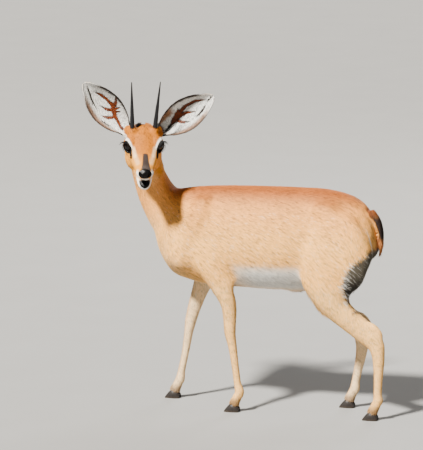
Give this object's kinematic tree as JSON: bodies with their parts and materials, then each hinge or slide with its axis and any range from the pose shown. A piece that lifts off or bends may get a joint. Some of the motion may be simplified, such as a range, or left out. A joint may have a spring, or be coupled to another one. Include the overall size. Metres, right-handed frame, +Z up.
{
  "type": "steenbok",
  "caption": "Standing male steenbok, life size, head turned over its left shoulder, with spike horns, large cupped ears, short tail and cloven feet; a still model.",
  "frame": {"origin": "on the ground, under the middle of the whole model's box", "axes": "+Z up; the animal faces -X and its left side faces -Y"},
  "size_m": [0.7246, 0.268, 0.7872],
  "materials": {
    "coat": "short sleek fawn fur",
    "face": "very short reddish fur",
    "ear": "thin skin with pale hair inside and fawn fur outside",
    "horn": "dark horn, faintly ringed at its foot",
    "eye": "wet dark brown eye",
    "nose": "moist bare black skin",
    "claw": "dark hoof horn"
  },
  "bodies": {
    "root": {"claw_fore_left_inner": "claw", "claw_fore_left_outer": "claw", "claw_fore_right_inner": "claw", "claw_fore_right_outer": "claw", "claw_hind_left_inner": "claw", "claw_hind_left_outer": "claw", "claw_hind_right_inner": "claw", "claw_hind_right_outer": "claw", "ear_left": "ear", "ear_right": "ear", "eye_left": "eye", "eye_right": "eye", "fore_shin_left": "coat", "fore_shin_right": "coat", "forearm_left": "coat", "forearm_right": "coat", "head": "face", "hind_shin_left": "coat", "hind_shin_right": "coat", "horn_left": "horn", "horn_right": "horn", "neck": "coat", "nose": "nose", "tail": "coat", "thigh_left": "coat", "thigh_right": "coat", "torso": "coat"}
  },
  "joints": []
}
